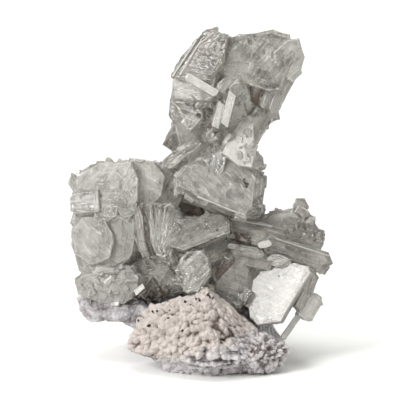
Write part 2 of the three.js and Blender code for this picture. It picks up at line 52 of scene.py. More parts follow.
# ---- crystals, mm and degrees ----
# [centre, [turn, tilt, roll], [length, width, thickness], habit, layers, finish]
# An "inner" crystal fills the middle of the cluster, behind the ones that show.
CRYSTALS = [
    # tower
    [[1.7, -9, 103], [-15, 10, 56], [21.5, 13.2, 7], "shield", 2, "glassy"],  # crown tablet
    [[17, -1.5, 102.4], [8, 20, -18], [26.5, 21, 13], "hat", 3, "hazy"],  # crown face
    [[29.5, -1.5, 102], [20, 12, 36], [13, 12.4, 9], "lobe", 2, "milky"],  # crown shoulder
    [[26, -5.5, 92.5], [30, 4, 62], [17, 3.5, 4], "blade", 2, "frosted"],  # edge blade
    [[26.5, 3, 92.5], [32, 2, 54], [19.5, 5, 7], "blade", 2, "clear"],  # rear edge blade
    [[0.6, -15.5, 95.3], [-5, 15, -30], [12, 2.6, 3], "tablet", 1, "satin"],  # white bar
    [[5.9, -16, 86], [5, -5, 79], [9.3, 3.1, 3.5], "prism", 1, "satin"],  # short prism
    [[9.5, -16, 88], [-8, -3, 79], [12.5, 3.4, 4], "prism", 1, "satin"],  # long prism
    [[10, -11.5, 93.5], [12, 22, 12], [10, 8, 5], "round", 3, "hazy"],  # curved plates
    [[11.5, -13.4, 92.3], [14, 24, 20], [8, 6.5, 2], "round", 1, "clear"],  # second curved plate
    [[10, -14.4, 90.6], [10, 24, 25], [6, 5, 2], "round", 1, "clear"],  # third curved plate
    [[-0.5, -6, 93.5], [-20, 8, -2], [15, 8.5, 11], "tablet", 2, "hazy"],  # left side of the shaft
    [[-1.5, -5, 86], [-20, 6, -4], [15.5, 10.5, 10], "tablet", 2, "glassy"],  # lower left of the shaft
    [[-2, -13, 84], [-12, 12, 48], [7.5, 4.5, 3], "tablet", 1, "clear"],  # framed plate
    [[-5, -3, 76.5], [-25, 6, 61], [11.5, 9, 8], "tablet", 2, "glassy"],  # left tip
    [[-7, -4, 90.5], [-40, 0, 80], [5.5, 4, 4], "tablet", 1, "clear"],  # left nub
    [[4.5, 0, 78], [5, 5, 15], [24, 15, 17], "inner", 2, "hazy"],  # neck
    [[15.5, -10.5, 75], [-8, 20, 67], [16, 11.5, 7], "wedge", 1, "satin"],  # rough wedge
    [[19, -0.5, 84], [22, 2, 55], [21.5, 8, 11], "tablet", 2, "hazy"],  # right of the neck
    [[17.5, -6, 68.5], [20, 20, 40], [6, 5.5, 6], "tablet", 1, "milky"],  # chips under the wedge
    [[21.5, -6, 90], [25, 5, 70], [7.5, 5, 6], "tablet", 1, "hazy"],  # beside the stained pocket
    [[18.3, -9.3, 92], [5, 10, 75], [7.5, 3.6, 3], "tooth", 1, "brown"],  # stain in the pocket
    [[24.8, 0, 83.2], [60, 10, 0], [3.5, 3, 3], "tablet", 1, "clear"],  # right nub
    [[-3.5, -8, 73.5], [-8, 10, 38], [21, 4, 7], "blade", 2, "clear"],  # slanting bar
    [[11.5, 2, 89.5], [0, 0, 60], [30, 19, 13], "inner", 1, "hazy"],  # body of the shaft
    [[12, 9, 100], [170, 10, -25], [25, 17, 8], "round", 2, "hazy"],  # back of the crown
    [[15, 11, 89.5], [200, 0, 60], [22, 15, 7], "tablet", 2, "hazy"],  # back of the shaft
    [[5, 11, 77.5], [165, 5, 20], [20, 15, 8], "round", 2, "clear"],  # back of the neck
    # middle
    [[4.5, -10.5, 60.5], [10, 28, -11], [25, 21.5, 8], "fan_plate", 2, "milky"],  # fan plate
    [[15, -4.5, 57.5], [28, 8, 77], [17, 9.5, 11], "tablet", 2, "clear"],  # end of the fan plate
    [[0.5, -7, 65.5], [-10, 20, 41], [21, 13.5, 8], "round", 3, "hazy"],  # arched plate
    [[5, 6, 59], [0, 10, -20], [29, 19, 14], "inner", 1, "hazy"],  # below the fan plate
    [[1.5, 16, 60.5], [180, 10, 10], [28, 19, 8], "round", 2, "hazy"],  # upper back
    [[8.5, 14, 46.5], [190, -5, -20], [28, 18, 8], "tablet", 2, "clear"],  # lower back
    [[-6.5, 3, 52], [0, 0, 20], [13, 10, 8], "inner", 1, "brown"],  # behind the upper cavity
    [[-6.5, -2, 37], [0, 0, 10], [10, 9, 10], "inner", 1, "smoky"],  # behind the hanging plate
    # left block
    [[-30, -2.5, 58.5], [-8, 9, 4], [21.5, 18.5, 14], "block", 2, "milky"],  # top left
    [[-19, 0.3, 58.7], [-4, 12, 87], [18.5, 15.5, 15], "block", 2, "milky"],  # top right
    [[-41, -2.5, 60], [-50, 5, -36], [7.5, 4.5, 4], "tablet", 1, "clear"],  # end plate
    [[-38, -8.4, 55], [-16, 12, 9], [10.5, 7.5, 5], "tablet", 1, "hazy"],  # square plate
    [[-31, -9.6, 53], [-8, 12, 80], [8, 7.8, 4], "tablet", 1, "milky"],  # first scale
    [[-24.5, -9.2, 54.5], [-2, 14, -73], [9.8, 8, 4], "round", 1, "milky"],  # second scale
    [[-35, -8.2, 42.5], [-16, 8, -82], [17.5, 15.5, 7], "round", 1, "milky"],  # shell plate
    [[-26.5, -8.4, 41], [2, 12, 63], [13.8, 11.2, 6], "round", 1, "frosted"],  # bright scale
    [[-30, 3, 39], [-10, 0, 85], [20, 21, 17], "inner", 1, "milky"],  # heart of the block
    [[-31.3, -3.6, 42], [-8, 5, 85], [27.5, 22.5, 14], "block", 1, "frosted"],  # wall of the block
    [[-29.7, -4, 27.5], [-10, -5, 5], [22.4, 12.5, 17], "block", 2, "crusty"],  # low crust
    [[-20, -14.2, 26.6], [-20, 15, 50], [4.4, 2.4, 2], "prism", 1, "satin"],  # bright chip on the low crust
    [[-19, -12, 46], [-40, 4, -73], [17.5, 5.5, 4], "crescent", 1, "smoky"],  # edge plate
    [[-30.6, 17, 49.5], [200, 10, 15], [24, 20, 7], "tablet", 2, "hazy"],  # left back
    [[-28, 17, 33.5], [170, -5, 70], [22, 19, 7], "round", 2, "milky"],  # left back low
    # centre
    [[-12, 1, 58], [10, 5, 60], [15, 12, 13], "tablet", 2, "smoky"],  # brown-grey mass
    [[-14.5, -2, 30], [0, 0, 20], [18, 15, 14], "inner", 1, "smoky"],  # low heart
    [[-9.5, -13, 43], [15, 10, 60], [9, 5, 4], "tablet", 1, "hazy"],  # small crystal on the fan
    [[-0.5, -12, 45.5], [-4, 26, 22], [22, 10.5, 8], "roof", 3, "smoky"],  # roof plate
    [[-2, -17.5, 34], [-10, 6, 47], [13.5, 11.5, 5], "drop", 2, "hazy"],  # hanging plate
    [[7, -2, 34], [0, 5, 30], [20, 17, 14], "inner", 1, "smoky"],  # dark heart
    [[10.5, -8.5, 29], [6, 8, -84], [17.5, 13, 9], "block", 2, "smoky"],  # grey lump
    [[7.3, -13.4, 33], [0, 5, 47], [12.5, 2.4, 3], "blade", 1, "shadow"],  # dark ridge on it, painted shade where a gap shows dark
    # right arm
    [[32, -8.5, 38], [6, 12, -18], [26, 6.5, 7], "blade", 3, "smoky"],  # long bar
    [[19.5, -6, 43.5], [3, 16, -16], [21.5, 8.5, 9], "tablet", 2, "smoky"],  # upper bar
    [[31.5, 0.5, 45.7], [14, 6, -17], [23.5, 12.2, 7], "fan", 2, "milky"],  # back fan
    [[33.9, -2, 52.3], [10, 14, 62], [6.3, 4.8, 5], "tooth", 1, "smoky"],  # peak
    [[36.5, -1.5, 47], [30, 4, 20], [4.8, 4.2, 4.5], "tooth", 1, "clear"],  # second tip
    [[40, -1.5, 42.5], [30, 0, 5], [4.2, 4, 4], "tooth", 1, "clear"],  # third tip
    [[24.5, 0, 48], [-10, 15, 28], [9, 4, 6], "tablet", 1, "clear"],  # shoulder
    [[38.8, -7.5, 33.4], [15, -5, -14], [9, 4, 6], "prism", 1, "hazy"],  # end of the long bar
    [[26.5, -11.3, 36], [0, 4, -12], [8.5, 4.6, 5], "round", 1, "hazy"],  # lump under the bar
    [[19, -9, 36], [0, 5, -12], [11, 6, 6], "tablet", 1, "smoky"],  # second lump
    [[14.5, -12.5, 40.6], [0, 5, -9], [11, 1.8, 4], "blade", 1, "hazy"],  # light bar
    [[16, -11.8, 39], [0, 5, -7], [11.5, 3, 5], "blade", 1, "smoky"],  # dark bar
    [[21.5, -13.5, 42], [4, 5, 14], [5, 2.6, 2.5], "round", 1, "satin"],  # light facet
    [[28, 10, 38.5], [190, 0, 15], [24, 14, 7], "tablet", 2, "hazy"],  # back of the arm
    [[21, -1, 38], [0, 5, -17], [25, 12, 13], "inner", 1, "smoky"],  # heart of the arm
    # front plate
    [[25.5, -13, 25.5], [-22, 22, 67], [26.5, 17.5, 5.5], "window", 1, "pearly"],  # bright plate
    [[35.3, -12.2, 25.8], [28, 2, 63], [15.5, 4.8, 3.4], "prism", 1, "smoky"],  # strip along its edge
    [[15.5, -14.4, 24.6], [-10, 20, 60], [4.4, 2.6, 3], "tablet", 1, "hazy"],  # chips beside it
    [[32.5, -11.8, 16], [6, 8, 54], [17.5, 1.8, 2.4], "blade", 1, "satin"],  # foot bar
    [[36.8, -11.2, 19.8], [15, 12, 54], [9.5, 5.4, 5], "tablet", 2, "milky"],  # crystal on the foot bar
    [[22, 1, 25], [0, 0, 60], [18, 14, 13], "inner", 1, "smoky"],  # root of the plate
]
# Slivers that catch the light along rims and on broad faces: [centre, [turn, tilt, roll], length]
SLIVERS = [
    [[-5.1, -11, 103.7], [-15, 10, 58], 14.5],  # left rim of the crown tablet
    [[-3.4, -11.4, 103.6], [-15, 10, 59.5], 12.4],  # beside it
    [[2, -11.7, 110.3], [-15, 10, 41], 5.6],  # top rim of the crown tablet
    [[3.8, -12, 66.2], [10, 28, -67], 8.2],  # across the fan plate
    [[2.3, -15.7, 60], [10, 28, -65], 3.1],  # below it
    [[9.4, -11.6, 65.2], [10, 28, -46], 2.7],  # upper right of the fan plate
    [[9.8, -13.2, 62.1], [10, 28, -50], 1.8],  # right of the fan plate
    [[13.7, -12.7, 61.7], [10, 28, -69], 4.1],  # right rim of the fan plate
    [[6.1, -17.2, 55.8], [10, 28, -25], 15.3],  # lower rim of the fan plate
    [[34.3, -11.2, 40.4], [6, 12, -19], 19.1],  # top of the long bar
    [[17.1, -9.3, 48.4], [3, 16, -11], 14.3],  # top of the upper bar
    [[32.7, -4.7, 52.3], [10, 14, 54], 2.9],  # left rim of the peak
    [[35.1, -4.4, 52.3], [10, 14, -32], 3.6],  # right rim of the peak
    [[37.6, -3.3, 48.1], [30, 4, 11], 4.2],  # on the second tip
    [[-2.8, -8.7, 70.8], [-10, 20, 39], 4.4],  # rim of the arched plate
    [[1.5, -8.8, 72.6], [-10, 20, 13], 5.1],  # top of the arched plate
    [[-1, -15.5, 47.1], [-4, 26, 44], 8.1],  # across the roof plate
]
SLIVER_SECTION = [0.45, 0.6]
# The cockscomb fan: where its blades meet, and [angle, length] of the blades across it.
FAN_ROOT = [-14, -9.5, 37]
FAN_SPREAD = [[106, 17.5], [93, 19], [80, 18.5], [68, 18], [54, 16.5], [38, 13]]
FAN_BLADES = 15
FAN_SECTION = [3.6, 3.6]
FAN_STEP = 0.22  # how far each blade stands before the one above it
FAN_TURN = 70  # degrees, for a blade that lies level; an upright one has none
# Broad faces with an outline of their own, for half sizes of 1, anticlockwise, long axis along X.
OUTLINES = {
    "shield": [
        [-0.95, 0.25], [-0.3, -1], [0.35, -1], [1, -0.4],
        [0.95, 0.5], [0.7, 0.8], [-0.35, 1], [-1, 0.85],
    ],
    "hat": [
        [-0.9, -0.7], [-0.55, -1], [0.65, -1], [0.9, -0.85], [1, 0.3],
        [0.75, 1], [0.3, 1], [-0.75, 0.3], [-1, -0.25],
    ],
    "lobe": [
        [-0.95, 0.4], [-1, -0.4], [-0.8, -1], [-0.05, -0.8],
        [0.6, -0.35], [1, 0.65], [0.4, 1], [-0.65, 1],
    ],
    "finger": [[-1, -1], [0.8, -1], [0.94, -0.7], [1, 0], [0.94, 0.7], [0.8, 1], [-1, 1]],
    "prism": [[-1, -0.6], [0.75, -1], [1, 0.5], [-0.8, 1]],
    "wedge": [[0.1, 1], [-0.8, 1], [-1, -0.2], [-0.85, -1], [-0.35, -0.85], [0.9, 0.1], [1, 0.8]],
    "fan_plate": [
        [-0.98, -0.25], [-0.3, -0.55], [0.45, -0.8], [0.9, -0.88], [1.05, -0.5],
        [1.08, 0.4], [0.75, 0.9], [0.2, 1], [-0.8, 0.6], [-1.05, 0.1],
    ],
    "block": [
        [-0.95, -0.3], [-0.25, -0.9], [0.45, -1], [0.95, -0.45], [1, 0.4],
        [0.8, 1], [-0.2, 1], [-0.8, 0.7], [-1, 0.4],
    ],
    "crescent": [
        [-0.35, -1], [0.3, -1], [1, -0.2], [1, 0.95],
        [0.35, 0.6], [-0.5, 1], [-1, 0.7], [-0.8, -0.3],
    ],
    "roof": [
        [-1, -0.4], [-0.6, -1], [0.9, -0.95], [1, -0.2],
        [0.8, 0.45], [-0.15, 1], [-0.55, 0.9], [-0.9, 0.2],
    ],
    "drop": [
        [-0.95, -0.1], [-1, -0.7], [-0.3, -1], [0.5, -0.8],
        [1, -0.15], [1, 0.5], [0.45, 1], [-0.6, 0.8],
    ],
    "fan": [
        [-0.7, -1], [0.95, -1], [1, -0.55], [0.7, 0.25], [0.4, 0.6],
        [0.3, 1], [-0.15, 0.95], [-0.8, 0.2], [-1, -0.3],
    ],
    "tooth": [[-1, -0.8], [0.4, -1], [1, 0.1], [0.7, 0.9], [0, 1], [-0.8, 0.5]],
    "window": [
        [-0.9, 0.3], [-0.97, -0.14], [-0.6, -0.9], [0.86, -0.98], [0.97, -0.75], [0.88, -0.21],
        [0.65, 0.25], [0.6, 0.42], [0.42, 0.5], [0.3, 0.85], [0.05, 0.9], [-0.1, 1.05], [-0.42, 0.96],
    ],
}
# Sprays of small crystals on the big ones:
# [middle, reach, count, [shortest, longest], lean from the surface, finish]
SPRAYS = [
    [[16, -13, 84], [3, 2, 2], 6, [1.5, 3.2], 45, "frosted"],  # head of the rough wedge
    [[15.5, -15, 75], [4, 1.5, 7], 22, [1.5, 4], 16, "frosted"],  # face of the rough wedge
    [[20, -7.5, 91], [3, 1.5, 4], 12, [1.5, 3.5], 50, "brown"],  # stained pocket
    [[13.5, -12, 43.5], [4, 2, 2], 8, [1.2, 3], 20, "shadow"],  # shadow under the upper bar
    [[-8, -4, 83], [2, 3, 10], 14, [1.5, 3.5], 40, "clear"],  # left edge of the tower
    [[24, -2, 86], [3, 4, 9], 12, [1.5, 3.5], 40, "clear"],  # right edge of the tower
    [[18, -6, 69], [4, 3, 3], 10, [1.5, 3.5], 50, "milky"],  # foot of the rough wedge
    [[0, -13, 86], [4, 1.5, 3], 9, [1.5, 3], 40, "brown"],  # brown spot by the prisms
    [[17, -7, 109], [9, 3, 2], 9, [1.2, 2.6], 30, "clear"],  # top of the crown
    [[17, -10, 57], [5, 3, 7], 14, [1.2, 3.2], 40, "clear"],  # end of the fan plate
    [[-38, -4, 66], [7, 4, 4], 16, [1.5, 3.5], 30, "clear"],  # upper left rim
    [[-24, -1, 68], [12, 6, 1.5], 14, [1.2, 3], 25, "milky"],  # top of the left block
    [[-31, -13, 30], [11, 3, 6], 60, [2, 5], 12, "crusty"],  # low zone of the left block
    [[-31, -9, 22.5], [9, 5, 3], 34, [1.5, 4], 18, "crusty"],  # over the ledge
    [[-12, -10, 30], [7, 3, 6], 30, [2, 4.5], 15, "smoky"],  # between the low crust and the hanging plate
    [[5, -12, 88], [10, 3, 10], 26, [2, 5], 15, "clear"],  # needles on the shaft
    [[3, -9, 76], [8, 3, 6], 18, [2.5, 6], 12, "hazy"],  # needles on the neck
    [[-13, -12, 34], [5, 3, 4], 14, [1.5, 4], 40, "smoky"],  # root of the cockscomb fan
    [[-16, -12, 23.5], [8, 3, 4], 40, [1.5, 4], 45, "brown"],  # stained cavity above the rock
    [[14.5, -11.5, 62], [1.2, 1, 4], 6, [1, 2.2], 25, "shadow"],  # painted dark reflections on the fan plate, as dark shards
    [[15, -12, 55], [1.5, 1, 1.5], 5, [1, 2], 25, "shadow"],  # at its lower corner
    [[-7, -15, 50], [2, 2, 4], 10, [1.2, 3], 45, "clear"],  # left edge of the roof plate
    [[-2, -9, 57], [5, 3, 2.5], 14, [1.2, 3], 45, "brown"],  # under the fan plate
    [[-4, -6, 50.5], [5, 3, 2], 16, [1, 2.4], 50, "crusty"],  # foot of the upper cavity
    [[6, -14, 35], [4, 3, 6], 12, [1.2, 3], 40, "smoky"],  # dark gap by the hanging plate
    [[14, -15, 21], [3, 2.5, 5], 12, [1.2, 3], 35, "milky"],  # beside the bright plate
    [[36, -1.5, 46], [5, 2, 7], 9, [1.5, 3.5], 40, "clear"],  # rim of the back fan
    [[10, 16, 100], [12, 4, 9], 26, [2, 5], 25, "hazy"],  # back of the crown
    [[5, 20, 70], [12, 4, 12], 34, [2, 5], 25, "clear"],  # back of the neck
    [[-30, 22, 45], [12, 4, 14], 44, [2, 5], 20, "milky"],  # back of the left block
    [[14, 18, 42], [18, 4, 9], 34, [2, 5], 25, "hazy"],  # back of the arm
]
# How far a habit's growth lines are turned from its long axis, in degrees.
GROWTH_ANGLES = {"hat": 66, "shield": 10, "window": 90, "fan_plate": -40, "block": 55, "round": 40}
PATTERN_STEP = 0.37  # m between two crystals' places in the patterns, so that no two look alike
PRISM_ANGLE = math.radians(50.8)  # half the angle between barite's prism faces
# Growth steps and terraces, in mm or in shares of what they are named for.
BEVEL_OF_STEP, BEVEL_OF_WIDTH, BEVEL_MOST = 0.22, 0.06, 0.45
JOG, STEP_DRAW, STEP_DRIFT = 0.012, 0.06, 0.02  # of the width: a side's breaks, a step drawn in, and aside
TERRACE_RIM, TERRACE_SLOPE = 0.35, 0.12  # mm
TERRACE_DRAW, TERRACE_DRIFT = 0.12, 0.05  # of the width
TERRACE_RISE = (0.04, 0.1)  # mm: the least, and how much more it may be
HILLOCK_ROOM, HILLOCK_DEPTH = 60, 1.4  # mm2 of face for each hillock, and mm
SLIVER_ROOM = (3, 9)  # mm of rim for each sliver, on a plate and on a blade
FRACTURES, CRACK_CORNERS, CRACK_HALF = 240, 14, 0.09  # the last is half a crack's thickness in mm
CRUMB = 20  # mm3, the least that a piece on its own holds
SPRAY_SEED, CRACK_SEED, GRAIN_SEED = 900, 11, 21
# A crystal's finish: how hazy it is with tiny inclusions, and how stained with iron. Haze 0 is glassy with
# hazy marks, less has fewer of them, and 1 is white. Stain 0 is none and 1 is brown all through. The
# "shadow" finish is painted shade: its stain past 1 makes crystals dark where there is only shade or a dark
# reflection.
FINISHES = {
    "glassy": (-0.18, 0.5),
    "clear": (-0.06, 0.06),
    "hazy": (0.06, 0.1),
    "milky": (0.26, 0.02),
    "frosted": (0.34, 0.08),
    "pearly": (0.46, 0.0),
    "satin": (0.65, 0.0),
    "smoky": (0.12, 0.4),
    "crusty": (0.4, 0.2),
    "brown": (0.5, 0.9),
    # painted shade: dark grey-brown crystals where there is only shade or a dark reflection
    "shadow": (0.4, 1.6),
}
HAZE_SPREAD = 0.16  # how much haze differs between crystals of one finish

# ---- patterns, noise cells to a metre ----
CLOUDS = 230.0  # clouds of inclusions 4.3 mm across
VEILS = 800.0  # veils 1.25 mm apart, seven times as long
HEALED_CRACKS = 330.0  # 3 mm apart
DIMPLES = 700.0  # uneven growth 1.4 mm across
PATCHES = 180.0  # tones of rock 5.6 mm across
CLEAVAGE_GRAIN = 1300.0  # 0.8 mm, coarser than the real one so that it shows
TARNISH = 2500.0  # 0.4 mm

# ---- rock, mm: [centre, radii] ----
NODULE = [[2, -19, 11.3], [25, 15.3, 16.5]]
NODULE_FOOT = [[19.5, -19, 6.5], [11.5, 12, 8.5]]
FOOTING = [
    [[3, 3, 6], [24, 20, 16]],
    [[-9, 8, 13], [15, 14, 11]],
    [[-15, -4, 16], [13, 11, 8]],
    [[-30, -2, 18.5], [13.2, 12, 8]],
    [[-24, 6, 18], [13, 12, 8]],
]
# Taken out of the nodule: under its front, a notch above that, and under its left side.
HOLLOWS = [
    [[7, -34, -1], [13, 8, 3.2]],
    [[11.5, -33.5, 9.6], [4, 3.5, 1.8]],
    [[-20.5, -29, 0], [9, 15, 8]],
]
LUMP_ROUGHNESS = 0.11  # of the radius
NODULE_CRUST = [(1.2, 2.8), 20]  # least and largest radius of a knob, and how many points share one
FOOT_CRUST = [(0.8, 1.8), 25]
CRUST_SUNK = 0.68  # of the largest radius
NODULE_SLOPE, SLOPE_EASE = 0.026, 4  # how the nodule falls to the right, per mm, and where that sets in
FOOT_LEVEL, FOOT_RISE, FOOT_BLEND = 9.9, 0.31, 4  # the nodule's grey foot: height, slope, soft edge

# Black grains in the crust, mm: [middle, reach, count]
BLACK_GRAINS = [
    [[-19.5, -27, 20], [2.5, 2, 3], 8],
    [[-11.5, -27, 22.5], [4, 2, 2], 9],
    [[-3.5, -25, 26.5], [2.5, 2, 1.5], 7],
    [[3.5, -25, 26.5], [2, 2, 1.5], 5],
    [[2, -30, 12], [13, 3, 6], 6],
    [[25, -15, 20], [6, 2, 8], 3],
    [[3, -17, 45], [9, 3, 4], 4],
]

# ---- camera, mm and degrees ----
CAMERA_DISTANCE = 600
CAMERA_ELEVATION = 10
CAMERA_AIM = [0, 0, 54.5]
MM_PER_PIXEL = 0.34
FRAME_PIXELS = 400
SENSOR_MM = 36
# [name, place and size in metres, watts]
SOFT_BOXES = [
    ["key", (-0.7, -0.64, 0.6), (0.4, 0.4), 11.0],
    ["side", (-1.15, 0.12, 0.78), (0.3, 0.8), 6.0],
    ["top", (0.0, 0.0, 1.2), (0.9, 0.8), 8.5],
    ["fill", (0.9, -0.8, 0.5), (0.7, 0.7), 2.0],
]


# ---- helpers ----
def chance(seed, index):
    """A repeatable number from 0 to 1 for a seed and an index, either of them an array: the fraction of a
    large multiple of a sine."""
    s = np.sin(np.asarray(seed) * 127.1 + np.asarray(index) * 311.7) * 43758.5453
    return s - np.floor(s)


def srgb(hex_colour):
    """An sRGB hex colour as linear RGBA."""
    c = np.array([int(hex_colour[i : i + 2], 16) / 255 for i in (1, 3, 5)])
    linear = np.where(c <= 0.04045, c / 12.92, ((c + 0.055) / 1.055) ** 2.4)
    return (*linear, 1.0)


def node(tree, kind, links=None, **settings):
    """Adds a shader node with its settings and links. A setting named like an input (spaces as _) sets that
    input; any other is a property. A link from a node is from its first output."""
    made = tree.nodes.new("ShaderNode" + kind)
    for key, value in settings.items():
        if hasattr(made, key):
            setattr(made, key, value)
        else:
            made.inputs[key.replace("_", " ")].default_value = value
    for name, source in (links or {}).items():
        tree.links.new(getattr(source, "outputs", [source])[0], made.inputs[name])
    return made


def grid_faces(rings, around):
    """Quads between rings of points, each ring closed on itself, with a flat cap at both ends."""
    r = np.arange(rings - 1)[:, None] * around
    c = np.arange(around)[None, :]
    n = (c + 1) % around
    quads = np.stack([r + c, r + n, r + around + n, r + around + c], -1).reshape(-1, 4)
    ends = [np.arange(around)[::-1], np.arange(around) + (rings - 1) * around]
    return quads.tolist() + [end.tolist() for end in ends]


def new_object(name, verts_mm, faces, material, **carried):
    """A mesh object at the origin from points in mm. Each further array gives its points a vector of that
    name, which the material reads; every corner of a face keeps its own copy, so that joined solids don't
    share theirs where they meet."""
    mesh = bpy.data.meshes.new(name)
    mesh.from_pydata(((np.asarray(verts_mm) - FOOTPRINT_MIDDLE) * MM).tolist(), [], faces)
    corners = np.concatenate([np.asarray(face) for face in faces])
    for key, values in carried.items():
        layer = mesh.attributes.new(key, "FLOAT_VECTOR", "CORNER")
        layer.data.foreach_set("vector", np.asarray(values, np.float32)[corners].ravel())
    mesh.materials.append(material)
    return bpy.data.objects.new(name, mesh)


def shown(name, data):
    """A new object, in the scene."""
    made = bpy.data.objects.new(name, data)
    bpy.context.scene.collection.objects.link(made)
    return made


def combined(name, parts, cuts, material):
    """The parts joined into one closed solid with the cuts taken out, as a new object in the scene."""
    base, *others = parts
    if not base.users_collection:
        bpy.context.scene.collection.objects.link(base)
    sets = []
    for operation, operands in (("UNION", others), ("DIFFERENCE", cuts)):
        if not operands:
            continue
        tools = bpy.data.collections.new(operation)
        sets.append(tools)
        for operand in operands:
            tools.objects.link(operand)
        step = base.modifiers.new(operation, "BOOLEAN")
        step.operation = operation
        step.solver = "MANIFOLD"
        step.operand_type = "COLLECTION"
        step.collection = tools
    mesh = bpy.data.meshes.new_from_object(base.evaluated_get(bpy.context.evaluated_depsgraph_get()))
    mesh.name = name
    mesh.materials.clear()
    mesh.materials.append(material)
    for part in [*parts, *cuts]:
        bpy.data.objects.remove(part)
    for tools in sets:
        bpy.data.collections.remove(tools)
    return shown(name, mesh)


def values_of(items, key, wide, kind=float):
    """One value or vector of each item of a mesh, as rows."""
    values = np.empty(len(items) * wide, kind)
    items.foreach_get(key, values)
    return values.reshape(-1, wide)


def drop_crumbs(solid, least):
    """Takes away the pieces of a solid that touch nothing else: closed shells round less than `least` mm3.
    A hollow in a crystal has a shell that faces inward, so its volume counts below zero and it stays."""
    mesh = solid.data
    mesh.calc_loop_triangles()
    place = values_of(mesh.vertices, "co", 3) / MM
    edges = values_of(mesh.edges, "vertices", 2, int)
    corners = values_of(mesh.loop_triangles, "vertices", 3, int)
    shell, before = np.arange(len(place)), None
    while not np.array_equal(shell, before):
        before = shell.copy()
        np.minimum.at(shell, edges, before[edges].min(1)[:, None])
        shell = shell[shell]
    a, b, c = (place[corners[:, i]] for i in range(3))
    wedges = np.einsum("ij,ij->i", a, np.cross(b, c)) / 6
    volume = np.bincount(shell[corners[:, 0]], wedges, len(place))
    crumbs = (volume > 0) & (volume < least)
    loose = bmesh.new()
    loose.from_mesh(mesh)
    loose.verts.ensure_lookup_table()
    bmesh.ops.delete(loose, geom=[loose.verts[i] for i in np.flatnonzero(crumbs[shell])], context="VERTS")
    loose.to_mesh(mesh)
    loose.free()


def surface_of(*objects):
    """A search tree over the faces of some objects."""
    verts, faces = [], []
    for held in objects:
        mesh = held.data
        corners = values_of(mesh.loops, "vertex_index", 1, int)[:, 0] + len(verts)
        starts = values_of(mesh.polygons, "loop_start", 1, int)[1:, 0]
        faces += [face.tolist() for face in np.split(corners, starts)]
        verts += values_of(mesh.vertices, "co", 3).tolist()
    return BVHTree.FromPolygons(verts, faces)


def grown_on(surface, spot):
    """The point of a surface nearest to a spot in mm, and the way out of it there."""
    at, normal, _, _ = surface.find_nearest(Vector((np.asarray(spot) - FOOTPRINT_MIDDLE) * MM))
    return np.array(at) / MM + FOOTPRINT_MIDDLE, np.array(normal)


# ---- crystal shapes ----
def pose(turn, tilt, roll):
    """Rows are a plate's long axis, short axis and broad face's direction. The face looks to -Y, turned
    about Z and tilted up, and the plate is rolled in its own plane."""
    t, e, r = np.radians([turn, tilt, roll])
    normal = np.array([np.sin(t) * np.cos(e), -np.cos(t) * np.cos(e), np.sin(e)])
    across = np.array([np.cos(t), np.sin(t), 0.0])
    up = np.cross(normal, across)
    long = across * np.cos(r) + up * np.sin(r)
    return np.stack([long, np.cross(normal, long), normal])


def rolled(axes, degrees):
    """A plate's axes with its long axis rolled in its own plane."""
    c, s = math.cos(math.radians(degrees)), math.sin(math.radians(degrees))
    return np.array([[c, s, 0], [-s, c, 0], [0, 0, 1]]) @ axes


def leant(axes, rng, spread):
    """A plate's axes tipped by random angles of about spread degrees about its long and short axes."""
    a, b = np.radians(rng.normal(0, spread, 2))
    over_long = np.array([[1, 0, 0], [0, math.cos(a), math.sin(a)], [0, -math.sin(a), math.cos(a)]])
    over_short = np.array([[math.cos(b), 0, math.sin(b)], [0, 1, 0], [-math.sin(b), 0, math.cos(b)]])
    return over_long @ over_short @ axes


def round_corners(seed):
    """Corners of a rounded outline for half sizes of 1: the oval |x|^2.6 + |y|^2.6 = 1 at uneven angles,
    each corner up to 0.08 short of it."""
    corners, power = 11, 2.6
    i = np.arange(corners)
    angle = (i + 0.5 * chance(seed, i)) * 2 * np.pi / corners
    c, s = np.cos(angle), np.sin(angle)
    oval = (np.abs(c) ** power + np.abs(s) ** power) ** (-1 / power)
    reach = (1 - 0.08 * chance(seed, i + 20)) * oval
    return np.stack([c * reach, s * reach], -1)


def tablet_corners(length, width, seed):
    """A rectangle with three corners in ten left square, and the others cut along a prism face from 0.35 to
    0.7 of half the width."""
    a, b = length / 2, width / 2
    points = []
    for i, (x, y) in enumerate([(a, -b), (a, b), (-a, b), (-a, -b)]):
        if chance(seed, i) < 0.3:
            points.append([x, y])
            continue
        cut_y = b * (0.35 + 0.35 * float(chance(seed, i + 4)))
        cut_x = cut_y / math.tan(PRISM_ANGLE)
        pair = [[x - math.copysign(cut_x, x), y], [x, y - math.copysign(cut_y, y)]]
        points += pair if i % 2 == 0 else pair[::-1]
    return np.array(points)


def outline(habit, length, width, seed):
    """A habit's broad face, anticlockwise: a blade's pointed hexagon, a tablet's cut rectangle, an outline
    from the table, or a rounded one."""
    a, b = length / 2, width / 2
    if habit == "blade":
        tip = 0.8 * b
        return np.array([[a, 0], [a - tip, b], [tip - a, b], [-a, 0], [tip - a, -b], [a - tip, -b]])
    if habit in ("tablet", "inner"):
        return tablet_corners(length, width, seed)
    return np.array(OUTLINES[habit] if habit in OUTLINES else round_corners(seed)) * [a, b]


def jogged(points, steps, depth, seed):
    """Each side of an outline cut into steps, every piece of it moved in or out by up to depth."""
    nxt = np.roll(points, -1, 0)
    t = np.arange(steps)[None, :, None] / steps
    along = points[:, None] * (1 - t) + nxt[:, None] * t
    side = nxt - points
    inward = np.stack([-side[:, 1], side[:, 0]], -1) / np.linalg.norm(side, axis=1, keepdims=True)
    move = depth * chance(seed + np.arange(len(points))[:, None], np.arange(steps)[None, :] + 90)
    move[:, 0] = 0
    return (along + inward[:, None] * move[..., None]).reshape(-1, 2)


def growth_of(row, seed):
    """Where a crystal's own pattern lies: its middle, its axes turned to its growth lines, an offset that
    tells it from the others, and its finish."""
    at, angles, _, habit, _, finish = row
    return np.array(at), rolled(pose(*angles), GROWTH_ANGLES.get(habit, 0)), PATTERN_STEP * seed, finish


